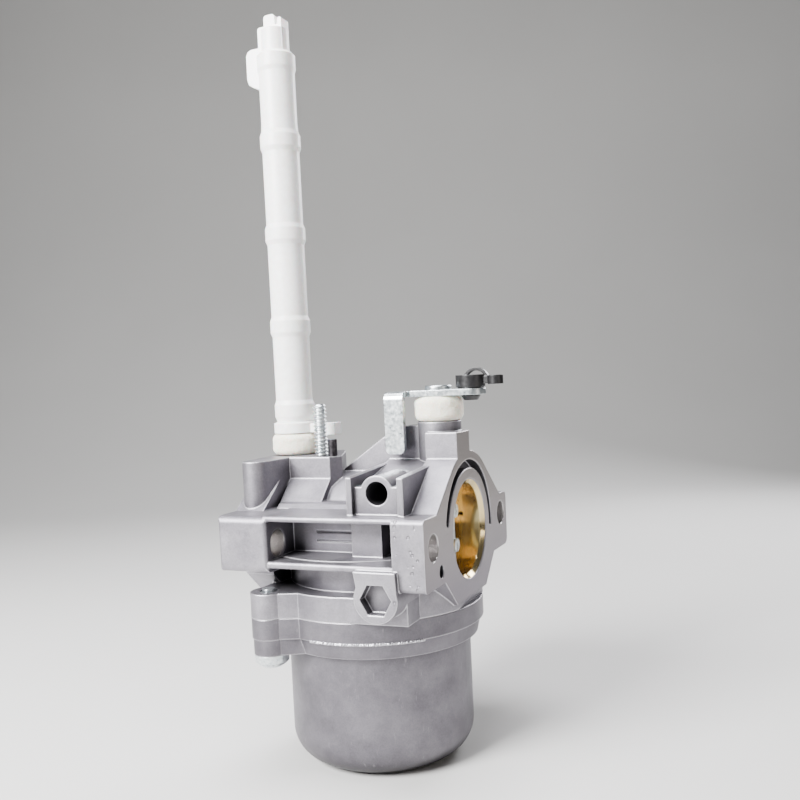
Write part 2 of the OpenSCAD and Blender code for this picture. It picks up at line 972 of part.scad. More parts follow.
module fuel_inlet_nipple()
{
    color(brass_gold)
        translate([-bowl_x, 0, inlet_z])
            rotate([-90, 0, 0])
                difference() {
                    union() {
                        translate([0, 0, 23])
                            cylinder(r = 3, h = 11, $fn = 64);
                        translate([0, 0, 33.2])
                            cylinder(r = 3.6, h = 1.2, $fn = 64);
                        translate([0, 0, 34])
                            cylinder(r = 2.6, h = 12, $fn = 64);
                        for (y = [37, 40.5, 44])
                            translate([0, 0, y])
                                cylinder(r1 = 3.3, r2 = 2.6, h = 2, $fn = 64);
                    }
                    translate([0, 0, 20])
                        cylinder(r = 1.6, h = 30, $fn = 48);
                }
}

carburetor_body();
float_bowl();
bowl_gasket();
bowl_screws();
bowl_screw_washers();
throttle_shaft();
throttle_lever();
throttle_shaft_seal();
throttle_plate();
throttle_plate_screws();
link_clip();
choke_shaft();
choke_shaft_seal();
choke_plate();
cover_stud();
choke_stop_pin();
float();
float_hinge_pin();
float_needle();
needle_seat();
main_jet();
main_nozzle();
pilot_jet();
fuel_inlet_nipple();
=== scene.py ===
import math
import random

import bmesh
import bpy
from mathutils import Matrix, Vector, noise


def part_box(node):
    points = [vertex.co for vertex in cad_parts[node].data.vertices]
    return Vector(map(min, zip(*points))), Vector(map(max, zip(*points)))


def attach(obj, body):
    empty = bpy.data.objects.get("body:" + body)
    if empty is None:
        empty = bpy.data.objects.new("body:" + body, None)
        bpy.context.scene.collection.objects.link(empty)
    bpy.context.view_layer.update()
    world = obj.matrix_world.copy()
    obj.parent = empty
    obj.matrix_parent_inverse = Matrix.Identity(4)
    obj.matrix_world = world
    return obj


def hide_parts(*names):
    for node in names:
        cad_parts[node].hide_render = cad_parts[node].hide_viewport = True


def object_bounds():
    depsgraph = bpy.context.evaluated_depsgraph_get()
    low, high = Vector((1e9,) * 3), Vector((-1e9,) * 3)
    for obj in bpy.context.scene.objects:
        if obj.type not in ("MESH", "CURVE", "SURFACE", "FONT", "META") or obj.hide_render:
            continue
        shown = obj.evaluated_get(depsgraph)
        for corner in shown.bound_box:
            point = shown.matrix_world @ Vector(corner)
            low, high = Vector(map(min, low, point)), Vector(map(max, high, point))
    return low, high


MM = 0.001

# sizes of the machined places on the body, in millimetres
OUTLET_R = 14.1
OUTLET_DEPTH = 15.2
STUD_Y = 28
DRILL_R = 3.6
EAR_BACK_X = -9.2
EAR_FRONT_Y = -33.2

# mould joint of the bowl flange, in millimetres
BOWL_X = -28.85
BOWL_FLANGE_R = 30.0
BOWL_STEP_Z = -25.6

# ---------- camera ----------

shutter = bpy.data.cameras.new("bench_camera")
shutter.sensor_width = 36.0
shutter.lens = 39.73
shutter.shift_x = -0.00125
shutter.shift_y = 0.0419
bench_camera = bpy.data.objects.new("bench_camera", shutter)
bpy.context.scene.collection.objects.link(bench_camera)
bpy.context.scene.camera = bench_camera
right, up, back = (Vector((0.9173, 0.3954, -0.0466)), Vector((0.0174, 0.0771, 0.9969)),
                   Vector((0.3978, -0.9152, 0.0639)))
stand = Matrix((right, up, back)).transposed().to_4x4()
stand.translation = Vector((79.29, -227.1, 42.27)) * MM
bench_camera.matrix_world = stand

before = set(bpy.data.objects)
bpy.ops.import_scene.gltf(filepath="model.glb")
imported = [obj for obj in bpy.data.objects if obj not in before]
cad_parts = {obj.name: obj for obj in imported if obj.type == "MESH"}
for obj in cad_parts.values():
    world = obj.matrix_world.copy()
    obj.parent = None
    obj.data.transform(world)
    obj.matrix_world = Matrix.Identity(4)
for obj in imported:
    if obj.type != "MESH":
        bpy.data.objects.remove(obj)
cad_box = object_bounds()


# ---------- small helpers ----------

def paint(hex_tone):
    """sRGB hex to the linear colour that a shader takes."""
    parts = [int(hex_tone[i:i + 2], 16) / 255 for i in (1, 3, 5)]
    return tuple(p / 12.92 if p <= 0.04045 else ((p + 0.055) / 1.055) ** 2.4 for p in parts) + (1.0,)


def add(tree, kind, settings=None, values=None, links=None):
    """One node, its settings, its fixed inputs and what feeds the others."""
    made = tree.nodes.new(kind)
    for name, value in (settings or {}).items():
        setattr(made, name, value)
    for name, value in (values or {}).items():
        made.inputs[name].default_value = value
    for name, source in (links or {}).items():
        tree.links.new(source, made.inputs[name])
    return made


def blank(name):
    """A new material with an empty node tree."""
    material = bpy.data.materials.new(name)
    material.use_nodes = True
    material.node_tree.nodes.clear()
    return material, material.node_tree


def radius_about_bore(tree, place, centre_y=0.0):
    """Distance from an axis along X: the bore itself, or both stud holes when centre_y is given."""
    split = add(tree, "ShaderNodeSeparateXYZ", None, None, {0: place})
    side = add(tree, "ShaderNodeMath", {"operation": "ABSOLUTE"}, None, {0: split.outputs["Y"]})
    off = add(tree, "ShaderNodeMath", {"operation": "SUBTRACT"}, {1: centre_y},
              {0: side.outputs["Value"]})
    flat = add(tree, "ShaderNodeCombineXYZ", None, None,
               {"Y": off.outputs["Value"], "Z": split.outputs["Z"]})
    return add(tree, "ShaderNodeVectorMath", {"operation": "LENGTH"}, None,
               {0: flat.outputs["Vector"]}).outputs["Value"]


def dress(node_names, material):
    """Puts one material on each named piece of the frame."""
    for node_name in node_names:
        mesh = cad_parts[node_name].data
        mesh.materials.clear()
        mesh.materials.append(material)


# ---------- materials ----------

def cast_skin(tree, place, hex_deep, hex_face, hex_edge_wear_and_highlight, rough, grain_mm):
    """The grey skin that every casting here shares: cloudy oxide, a fine grain like sand, painted shade
    darkening the corners, and edges painted lighter, partly as rubbing wear and partly as a painted
    highlight. Gives back colour, roughness, the grain's height and the softened normal."""
    cloud = add(tree, "ShaderNodeTexNoise", values={"Scale": 1 / (11 * MM), "Detail": 6.0,
                                                    "Roughness": 0.66},
                links={"Vector": place})
    grain = add(tree, "ShaderNodeTexNoise", values={"Scale": 1 / (grain_mm * MM), "Detail": 3.0,
                                                    "Roughness": 0.7},
                links={"Vector": place})
    soft = add(tree, "ShaderNodeBevel", {"samples": 6}, {"Radius": 0.6 * MM})
    flat = add(tree, "ShaderNodeNewGeometry").outputs["Normal"]
    # edges painted lighter from the bevel mask: partly rubbing wear, partly a painted highlight
    turn = add(tree, "ShaderNodeVectorMath", {"operation": "DOT_PRODUCT"}, None,
               {0: soft.outputs["Normal"], 1: flat})
    worn_and_highlit = add(tree, "ShaderNodeMapRange", None,
               {"From Min": 0.992, "From Max": 0.86, "To Min": 0.0, "To Max": 0.85},
               {"Value": turn.outputs["Value"]})
    # painted shade: ambient occlusion darkens the colour in corners, creases and undersides
    nook = add(tree, "ShaderNodeAmbientOcclusion", {"samples": 8}, {"Distance": 7 * MM})
    painted_shade = add(tree, "ShaderNodeMapRange", None,
                {"From Min": 0.25, "From Max": 0.9, "To Min": 0.3, "To Max": 1.0},
                {"Value": nook.outputs["AO"]})
    skin = add(tree, "ShaderNodeValToRGB", None, None, {"Fac": cloud.outputs["Fac"]})
    skin.color_ramp.elements[0].position = 0.34
    skin.color_ramp.elements[0].color = paint(hex_deep)
    skin.color_ramp.elements[1].position = 0.66
    skin.color_ramp.elements[1].color = paint(hex_face)
    speck = add(tree, "ShaderNodeMapRange", None,
                {"From Min": 0.35, "From Max": 0.65, "To Min": 0.88, "To Max": 1.07},
                {"Value": grain.outputs["Fac"]})
    # grain speckle multiplied by the painted shade
    shade = add(tree, "ShaderNodeMath", {"operation": "MULTIPLY"}, None,
                {0: speck.outputs["Result"], 1: painted_shade.outputs["Result"]}).outputs["Value"]
    sandy_and_shaded = add(tree, "ShaderNodeMix", {"data_type": "RGBA", "blend_type": "MULTIPLY"}, {0: 1.0},
                {6: skin.outputs["Color"], 7: shade})
    # mixes in the edge colour: wear and a painted highlight
    rubbed_and_highlit = add(tree, "ShaderNodeMix", {"data_type": "RGBA"}, {7: paint(hex_edge_wear_and_highlight)},
                 {0: worn_and_highlit.outputs["Result"], 6: sandy_and_shaded.outputs[2]}).outputs[2]
    sheen = add(tree, "ShaderNodeMapRange", None,
                {"From Min": 0.3, "From Max": 0.7, "To Min": rough - 0.05, "To Max": rough + 0.07},
                {"Value": grain.outputs["Fac"]})
    return rubbed_and_highlit, sheen.outputs["Result"], grain.outputs["Fac"], soft.outputs["Normal"]


def blasted_die_cast_body(name):
    """Die-cast aluminium, shot-blasted dull grey. The engine face is milled: smoother, with fine
    straight tool marks, and painted darker towards the bottom as painted shade. The outlet is bored to
    a mirror, painted golden as a painted reflection of the brass butterfly, and the stud holes are
    drilled bright, with a painted highlight making them lighter still. The front ear has pits where the
    sprue broke off."""
    material, tree = blank(name)
    place = add(tree, "ShaderNodeTexCoord").outputs["Object"]
    tone, matt, grain, normal = cast_skin(tree, place, "#848188", "#a3a0a6", "#e0dee3", 0.46, 0.45)
    split = add(tree, "ShaderNodeSeparateXYZ", None, None, {0: place})
    facing = add(tree, "ShaderNodeSeparateXYZ", None, None,
                 {0: add(tree, "ShaderNodeNewGeometry").outputs["Normal"]})
    # milled engine face
    near_face = add(tree, "ShaderNodeMath", {"operation": "COMPARE"}, {1: 0.0, 2: 0.2 * MM},
                    {0: split.outputs["X"]}).outputs["Value"]
    ahead = add(tree, "ShaderNodeMath", {"operation": "GREATER_THAN"}, {1: 0.9},
                {0: facing.outputs["X"]}).outputs["Value"]
    milled = add(tree, "ShaderNodeMath", {"operation": "MULTIPLY"}, None,
                 {0: near_face, 1: ahead}).outputs["Value"]
    # the milled face is painted darker towards the bottom: painted shade
    rise = add(tree, "ShaderNodeMapRange", None, {"From Min": -14 * MM, "From Max": 12 * MM},
               {"Value": split.outputs["Z"]}).outputs["Result"]
    painted_shade_face_tone = add(tree, "ShaderNodeMix", {"data_type": "RGBA"},
                    {6: paint("#767078"), 7: paint("#a39c99")},
                    {0: rise}).outputs[2]
    tone = add(tree, "ShaderNodeMix", {"data_type": "RGBA"}, None,
               {0: milled, 6: tone, 7: painted_shade_face_tone}).outputs[2]
    matt = add(tree, "ShaderNodeMix", {"data_type": "FLOAT"}, {3: 0.36},
               {0: milled, 2: matt}).outputs[0]
    # bored outlet and drilled stud holes
    inside = add(tree, "ShaderNodeMath", {"operation": "LESS_THAN"}, {1: OUTLET_R * MM},
                 {0: radius_about_bore(tree, place)}).outputs["Value"]
    deep_end = add(tree, "ShaderNodeMath", {"operation": "GREATER_THAN"}, {1: -OUTLET_DEPTH * MM},
                   {0: split.outputs["X"]}).outputs["Value"]
    mouth = add(tree, "ShaderNodeMath", {"operation": "LESS_THAN"}, {1: -0.25 * MM},
                {0: split.outputs["X"]}).outputs["Value"]
    bored = add(tree, "ShaderNodeMath", {"operation": "MULTIPLY"}, None,
                {0: inside, 1: deep_end}).outputs["Value"]
    bored = add(tree, "ShaderNodeMath", {"operation": "MULTIPLY"}, None,
                {0: bored, 1: mouth}).outputs["Value"]
    # painted reflection: the bore's colour is painted golden for the brass butterfly mirrored in it
    tone = add(tree, "ShaderNodeMix", {"data_type": "RGBA"}, {7: paint("#e0cb96")},
               {0: bored, 6: tone}).outputs[2]
    matt = add(tree, "ShaderNodeMix", {"data_type": "FLOAT"}, {3: 0.11}, {0: bored, 2: matt}).outputs[0]
    drilled = add(tree, "ShaderNodeMath", {"operation": "LESS_THAN"}, {1: DRILL_R * MM},
                  {0: radius_about_bore(tree, place, STUD_Y * MM)}).outputs["Value"]
    # drilled metal is brighter, and the colour is painted lighter still as a painted highlight of the
    # lit hole insides
    tone = add(tree, "ShaderNodeMix", {"data_type": "RGBA"}, {7: paint("#d2cfce")},
               {0: drilled, 6: tone}).outputs[2]
    matt = add(tree, "ShaderNodeMix", {"data_type": "FLOAT"}, {3: 0.26},
               {0: drilled, 2: matt}).outputs[0]
    # tool marks on the milled and drilled faces, pits on the front ear
    stretch = add(tree, "ShaderNodeMapping", None, {"Scale": (1.0, 0.05, 1.0)}, {"Vector": place})
    marks = add(tree, "ShaderNodeTexNoise", values={"Scale": 1 / (0.35 * MM), "Detail": 2.0},
                links={"Vector": stretch.outputs["Vector"]})
    smooth = add(tree, "ShaderNodeMath", {"operation": "MAXIMUM"}, None,
                 {0: milled, 1: drilled}).outputs["Value"]
    smooth = add(tree, "ShaderNodeMath", {"operation": "MAXIMUM"}, None,
                 {0: smooth, 1: bored}).outputs["Value"]
    unbored = add(tree, "ShaderNodeMath", {"operation": "LESS_THAN"}, {1: 0.5},
                  {0: bored}).outputs["Value"]
    marks = add(tree, "ShaderNodeMath", {"operation": "MULTIPLY"}, None,
                {0: marks.outputs["Fac"], 1: unbored}).outputs["Value"]
    height = add(tree, "ShaderNodeMix", {"data_type": "FLOAT"}, None,
                 {0: smooth, 2: grain, 3: marks}).outputs[0]
    cell = add(tree, "ShaderNodeTexVoronoi", {"feature": "F1"}, {"Scale": 1 / (1.7 * MM)},
               {"Vector": place})
    pit = add(tree, "ShaderNodeMapRange", None, {"From Min": 0.16, "From Max": 0.3, "To Min": 0.0,
                                                 "To Max": 1.0},
              {"Value": cell.outputs["Distance"]})
    blot = add(tree, "ShaderNodeTexNoise", values={"Scale": 1 / (4 * MM), "Detail": 2.0},
               links={"Vector": place})
    near_end = add(tree, "ShaderNodeMath", {"operation": "GREATER_THAN"}, {1: EAR_BACK_X * MM},
                   {0: split.outputs["X"]}).outputs["Value"]
    front_end = add(tree, "ShaderNodeMath", {"operation": "LESS_THAN"}, {1: EAR_FRONT_Y * MM},
                    {0: split.outputs["Y"]}).outputs["Value"]
    patchy = add(tree, "ShaderNodeMath", {"operation": "GREATER_THAN"}, {1: 0.5},
                 {0: blot.outputs["Fac"]}).outputs["Value"]
    sprue = add(tree, "ShaderNodeMath", {"operation": "MULTIPLY"}, None,
                {0: near_end, 1: front_end}).outputs["Value"]
    sprue = add(tree, "ShaderNodeMath", {"operation": "MULTIPLY"}, None,
                {0: sprue, 1: patchy}).outputs["Value"]
    dent = add(tree, "ShaderNodeMix", {"data_type": "FLOAT"}, {2: 1.0},
               {0: sprue, 3: pit.outputs["Result"]}).outputs[0]
    relief = add(tree, "ShaderNodeBump", None, {"Strength": 0.4, "Distance": 0.12 * MM},
                 {"Height": height, "Normal": normal})
    relief = add(tree, "ShaderNodeBump", None, {"Strength": 0.8, "Distance": 0.35 * MM},
                 {"Height": dent, "Normal": relief.outputs["Normal"]})
    shader = add(tree, "ShaderNodeBsdfPrincipled", None, {"Metallic": 0.9},
                 {"Base Color": tone, "Roughness": matt,
                  "Normal": relief.outputs["Normal"]})
    add(tree, "ShaderNodeOutputMaterial", None, None, {"Surface": shader.outputs["BSDF"]})
    return material


def tumbled_die_cast_bowl(name):
    """The bowl's casting alloy is a shade darker, tumbled nearly smooth, with faint handling scuffs."""
    material, tree = blank(name)
    place = add(tree, "ShaderNodeTexCoord").outputs["Object"]
    tone, matt, grain, normal = cast_skin(tree, place, "#656268", "#7c797f", "#c4c1c6", 0.42, 0.4)
    stretch = add(tree, "ShaderNodeMapping", None, {"Scale": (1.0, 1.0, 0.25)}, {"Vector": place})
    scuff = add(tree, "ShaderNodeTexNoise", values={"Scale": 1 / (1.2 * MM), "Detail": 4.0,
                                                    "Roughness": 0.7},
                links={"Vector": stretch.outputs["Vector"]})
    streak = add(tree, "ShaderNodeMapRange", None, {"From Min": 0.62, "From Max": 0.78, "To Min": 0.0,
                                                    "To Max": 0.4},
                 {"Value": scuff.outputs["Fac"]})
    tone = add(tree, "ShaderNodeMix", {"data_type": "RGBA"}, {7: paint("#aaa8ae")},
               {0: streak.outputs["Result"], 6: tone}).outputs[2]
    relief = add(tree, "ShaderNodeBump", None, {"Strength": 0.25, "Distance": 0.1 * MM},
                 {"Height": grain, "Normal": normal})
    shader = add(tree, "ShaderNodeBsdfPrincipled", None, {"Metallic": 0.9},
                 {"Base Color": tone, "Roughness": matt,
                  "Normal": relief.outputs["Normal"]})
    add(tree, "ShaderNodeOutputMaterial", None, None, {"Surface": shader.outputs["BSDF"]})
    return material


def broken_casting_flash(name):
    """Thin metal squeezed out at a mould joint and broken off: bright, torn aluminium."""
    material, tree = blank(name)
    place = add(tree, "ShaderNodeTexCoord").outputs["Object"]
    torn = add(tree, "ShaderNodeTexNoise", values={"Scale": 1 / (0.4 * MM), "Detail": 4.0},
               links={"Vector": place})
    tone = add(tree, "ShaderNodeValToRGB", None, None, {"Fac": torn.outputs["Fac"]})
    tone.color_ramp.elements[0].position = 0.35
    tone.color_ramp.elements[0].color = paint("#a3a1a7")
    tone.color_ramp.elements[1].position = 0.6
    tone.color_ramp.elements[1].color = paint("#ebeaef")
    matt = add(tree, "ShaderNodeMapRange", None,
               {"From Min": 0.3, "From Max": 0.7, "To Min": 0.3, "To Max": 0.5},
               {"Value": torn.outputs["Fac"]})
    relief = add(tree, "ShaderNodeBump", None, {"Strength": 0.7, "Distance": 0.2 * MM},
                 {"Height": torn.outputs["Fac"]})
    shader = add(tree, "ShaderNodeBsdfPrincipled", None, {"Metallic": 1.0},
                 {"Base Color": tone.outputs["Color"], "Roughness": matt.outputs["Result"],
                  "Normal": relief.outputs["Normal"]})
    add(tree, "ShaderNodeOutputMaterial", None, None, {"Surface": shader.outputs["BSDF"]})
    return material


def black_oxide_steel(name):
    """Black oxide on a steel pin: nearly black with a faint oily gloss."""
    material, tree = blank(name)
    place = add(tree, "ShaderNodeTexCoord").outputs["Object"]
    film = add(tree, "ShaderNodeTexNoise", values={"Scale": 1 / (0.8 * MM), "Detail": 3.0},
               links={"Vector": place})
    tone = add(tree, "ShaderNodeValToRGB", None, None, {"Fac": film.outputs["Fac"]})
    tone.color_ramp.elements[0].position = 0.3
    tone.color_ramp.elements[0].color = paint("#3a383b")
    tone.color_ramp.elements[1].position = 0.7
    tone.color_ramp.elements[1].color = paint("#5a575a")
    matt = add(tree, "ShaderNodeMapRange", None,
               {"From Min": 0.3, "From Max": 0.7, "To Min": 0.3, "To Max": 0.45},
               {"Value": film.outputs["Fac"]})
    soft = add(tree, "ShaderNodeBevel", {"samples": 6}, {"Radius": 0.25 * MM})
    shader = add(tree, "ShaderNodeBsdfPrincipled", None, {"Metallic": 1.0},
                 {"Base Color": tone.outputs["Color"], "Roughness": matt.outputs["Result"],
                  "Normal": soft.outputs["Normal"]})
    add(tree, "ShaderNodeOutputMaterial", None, None, {"Surface": shader.outputs["BSDF"]})
    return material


def zinc_plated_steel(name):
    """Clear-passivated zinc plate on pressed steel: bright blue-white with a faint frosted mottle."""
    material, tree = blank(name)
    place = add(tree, "ShaderNodeTexCoord").outputs["Object"]
    frost = add(tree, "ShaderNodeTexNoise", values={"Scale": 1 / (1.1 * MM), "Detail": 4.0,
                                                    "Roughness": 0.6},
                links={"Vector": place})
    tone = add(tree, "ShaderNodeValToRGB", None, None, {"Fac": frost.outputs["Fac"]})
    tone.color_ramp.elements[0].position = 0.35
    tone.color_ramp.elements[0].color = paint("#c3ccd0")
    tone.color_ramp.elements[1].position = 0.65
    tone.color_ramp.elements[1].color = paint("#eef2f2")
    matt = add(tree, "ShaderNodeMapRange", None,
               {"From Min": 0.3, "From Max": 0.7, "To Min": 0.26, "To Max": 0.42},
               {"Value": frost.outputs["Fac"]})
    soft = add(tree, "ShaderNodeBevel", {"samples": 6}, {"Radius": 0.25 * MM})
    relief = add(tree, "ShaderNodeBump", None, {"Strength": 0.12, "Distance": 0.08 * MM},
                 {"Height": frost.outputs["Fac"], "Normal": soft.outputs["Normal"]})
    shader = add(tree, "ShaderNodeBsdfPrincipled", None, {"Metallic": 1.0},
                 {"Base Color": tone.outputs["Color"], "Roughness": matt.outputs["Result"],
                  "Normal": relief.outputs["Normal"]})
    add(tree, "ShaderNodeOutputMaterial", None, None, {"Surface": shader.outputs["BSDF"]})
    return material


def moulded_plastic(name, hex_low, hex_high, rough, skin_mm, depth, scatter=0.0):
    """Injection-moulded nylon: an even satin skin with a slight orange peel."""
    material, tree = blank(name)
    place = add(tree, "ShaderNodeTexCoord").outputs["Object"]
    peel = add(tree, "ShaderNodeTexNoise", values={"Scale": 1 / (skin_mm * MM), "Detail": 2.0},
               links={"Vector": place})
    tone = add(tree, "ShaderNodeValToRGB", None, None, {"Fac": peel.outputs["Fac"]})
    tone.color_ramp.elements[0].position = 0.3
    tone.color_ramp.elements[0].color = paint(hex_low)
    tone.color_ramp.elements[1].position = 0.7
    tone.color_ramp.elements[1].color = paint(hex_high)
    matt = add(tree, "ShaderNodeMapRange", None,
               {"From Min": 0.3, "From Max": 0.7, "To Min": rough - 0.04, "To Max": rough + 0.06},
               {"Value": peel.outputs["Fac"]})
    soft = add(tree, "ShaderNodeBevel", {"samples": 6}, {"Radius": 0.3 * MM})
    relief = add(tree, "ShaderNodeBump", None, {"Strength": 0.2, "Distance": depth * MM},
                 {"Height": peel.outputs["Fac"], "Normal": soft.outputs["Normal"]})
    shader = add(tree, "ShaderNodeBsdfPrincipled", None,
                 {"IOR": 1.53, "Subsurface Weight": scatter, "Subsurface Scale": 1.5 * MM},
                 {"Base Color": tone.outputs["Color"], "Roughness": matt.outputs["Result"],
                  "Normal": relief.outputs["Normal"]})
    add(tree, "ShaderNodeOutputMaterial", None, None, {"Surface": shader.outputs["BSDF"]})
    return material


def felted_foam(name):
    """Off-white felted foam: dry and woolly, with open pores."""
    material, tree = blank(name)
    place = add(tree, "ShaderNodeTexCoord").outputs["Object"]
    pores = add(tree, "ShaderNodeTexVoronoi", {"feature": "F1"}, {"Scale": 1 / (0.7 * MM)},
                {"Vector": place})
    wool = add(tree, "ShaderNodeTexNoise", values={"Scale": 1 / (0.5 * MM), "Detail": 4.0},
               links={"Vector": place})
    height = add(tree, "ShaderNodeMath", {"operation": "MULTIPLY"}, None,
                 {0: pores.outputs["Distance"], 1: wool.outputs["Fac"]})
    tone = add(tree, "ShaderNodeValToRGB", None, None, {"Fac": wool.outputs["Fac"]})
    tone.color_ramp.elements[0].position = 0.3
    tone.color_ramp.elements[0].color = paint("#e6dfc9")
    tone.color_ramp.elements[1].position = 0.7
    tone.color_ramp.elements[1].color = paint("#f6f2e4")
    relief = add(tree, "ShaderNodeBump", None, {"Strength": 0.5, "Distance": 0.25 * MM},
                 {"Height": height.outputs["Value"]})
    dry = add(tree, "ShaderNodeMapRange", None,
              {"From Min": 0.3, "From Max": 0.7, "To Min": 0.85, "To Max": 1.0},
              {"Value": wool.outputs["Fac"]})
    shader = add(tree, "ShaderNodeBsdfPrincipled", None,
                 {"IOR": 1.4, "Subsurface Weight": 0.3, "Subsurface Scale": 1.2 * MM,
                  "Sheen Weight": 0.3},
                 {"Base Color": tone.outputs["Color"], "Roughness": dry.outputs["Result"],
                  "Normal": relief.outputs["Normal"]})
    add(tree, "ShaderNodeOutputMaterial", None, None, {"Surface": shader.outputs["BSDF"]})
    return material


def turned_brass(name):
    """Turned brass: warm yellow metal with a cloudy tone."""
    material, tree = blank(name)
    place = add(tree, "ShaderNodeTexCoord").outputs["Object"]
    cloud = add(tree, "ShaderNodeTexNoise", values={"Scale": 1 / (4 * MM), "Detail": 4.0},
                links={"Vector": place})
    tone = add(tree, "ShaderNodeValToRGB", None, None, {"Fac": cloud.outputs["Fac"]})
    tone.color_ramp.elements[0].position = 0.3
    tone.color_ramp.elements[0].color = paint("#b98a3f")
    tone.color_ramp.elements[1].position = 0.7
    tone.color_ramp.elements[1].color = paint("#e2bd6b")
    matt = add(tree, "ShaderNodeMapRange", None,
               {"From Min": 0.3, "From Max": 0.7, "To Min": 0.2, "To Max": 0.34},
               {"Value": cloud.outputs["Fac"]})
    shader = add(tree, "ShaderNodeBsdfPrincipled", None, {"Metallic": 1.0},
                 {"Base Color": tone.outputs["Color"], "Roughness": matt.outputs["Result"]})
    add(tree, "ShaderNodeOutputMaterial", None, None, {"Surface": shader.outputs["BSDF"]})
    return material


body_skin = blasted_die_cast_body("blasted_die_cast_body")
bowl_skin = tumbled_die_cast_bowl("tumbled_die_cast_bowl")
torn_flash = broken_casting_flash("broken_casting_flash")
pin_black = black_oxide_steel("black_oxide_steel")
zinc_plate = zinc_plated_steel("clear_zinc_plate")
white_nylon = moulded_plastic("moulded_white_nylon", "#f4f3f0", "#fdfdfb", 0.38, 1.6, 0.08, 0.25)
black_nylon = moulded_plastic("moulded_black_nylon", "#0e0e0f", "#1d1c1e", 0.36, 0.8, 0.1)
float_plastic = moulded_plastic("moulded_float_plastic", "#121213", "#222123", 0.5, 1.2, 0.1)
shaft_foam = felted_foam("felted_shaft_foam")
brass = turned_brass("turned_brass")
nitrile = moulded_plastic("moulded_nitrile_rubber", "#151515", "#232223", 0.7, 0.9, 0.1)

dress(["carburetor_body"], body_skin)
dress(["float_bowl"], bowl_skin)
dress(["bowl_screws", "bowl_screw_washers", "throttle_shaft", "throttle_lever", "throttle_plate_screws",
       "choke_plate", "cover_stud", "float_hinge_pin"], zinc_plate)
dress(["choke_stop_pin"], pin_black)
dress(["choke_shaft"], white_nylon)
dress(["link_clip"], black_nylon)
dress(["float"], float_plastic)
dress(["throttle_shaft_seal", "choke_shaft_seal"], shaft_foam)
dress(["throttle_plate", "needle_seat", "main_jet", "main_nozzle", "pilot_jet", "fuel_inlet_nipple"],
      brass)
dress(["bowl_gasket", "float_needle"], nitrile)


# ---------- pieces with more detail than the frame holds ----------

def piece_from(name, corners, faces, material, body, smooth=True):
    """A mesh from points in millimetres, riding on a body and bound to a material slot."""
    mesh = bpy.data.meshes.new(name)
    mesh.from_pydata([tuple(c * MM for c in corner) for corner in corners], [], faces)
    mesh.materials.append(material)
    shape = bmesh.new()
    shape.from_mesh(mesh)
    bmesh.ops.recalc_face_normals(shape, faces=shape.faces)
    for face in shape.faces:
        face.smooth = smooth
    shape.to_mesh(mesh)
    shape.free()
    made = bpy.data.objects.new(name, mesh)
    bpy.context.scene.collection.objects.link(made)
    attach(made, body)
    return made


def skin_rows(rows, close_round=True):
    """Faces between rows of points, each row the same length."""
    wide = len(rows[0])
    corners = [point for row in rows for point in row]
    faces = []
    for i in range(len(rows) - 1):
        for j in range(wide if close_round else wide - 1):
            k = (j + 1) % wide
            faces.append((i * wide + j, i * wide + k, (i + 1) * wide + k, (i + 1) * wide + j))
    return corners, faces, wide


def helical_stud():
    """The rolled M4 thread of the cover stud as a true helix, with a run-out at both ends."""
    low, high = [[value / MM for value in corner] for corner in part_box("cover_stud")]
    axis_x, axis_y = (low[0] + high[0]) / 2, (low[1] + high[1]) / 2
    root, core, crest, pitch = 1.68, 1.5, 1.98, 1.05
    start, end, around = 21.0, high[2], 48
    rows = []
    rows.append([(axis_x + root * math.cos(2 * math.pi * j / around),
                  axis_y + root * math.sin(2 * math.pi * j / around), low[2])
                 for j in range(around)])
    steps = int((end - start) / (pitch / 14))
    for i in range(steps + 1):
        z = start + (end - start) * i / steps
        row = []
        for j in range(around):
            turn = j / around
            phase = ((z - start) / pitch - turn) % 1.0
            swell = max(0.0, 1 - abs(phase - 0.5) / 0.36) ** 0.8
            fade = min(1.0, (z - start) / 0.8, (end - z) / 0.7)
            reach = core + (crest - core) * swell * max(0.0, fade)
            reach = min(reach, 1.35 + max(0.0, end - z) * 1.1)
            row.append((axis_x + reach * math.cos(2 * math.pi * turn),
                        axis_y + reach * math.sin(2 * math.pi * turn), z))
        rows.append(row)
    corners, faces, wide = skin_rows(rows)
    faces.append(tuple(range(wide)))
    faces.append(tuple(range(len(corners) - wide, len(corners))))
    made = piece_from("rolled_thread_stud", corners, faces, zinc_plate, "carburetor")
    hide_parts("cover_stud")


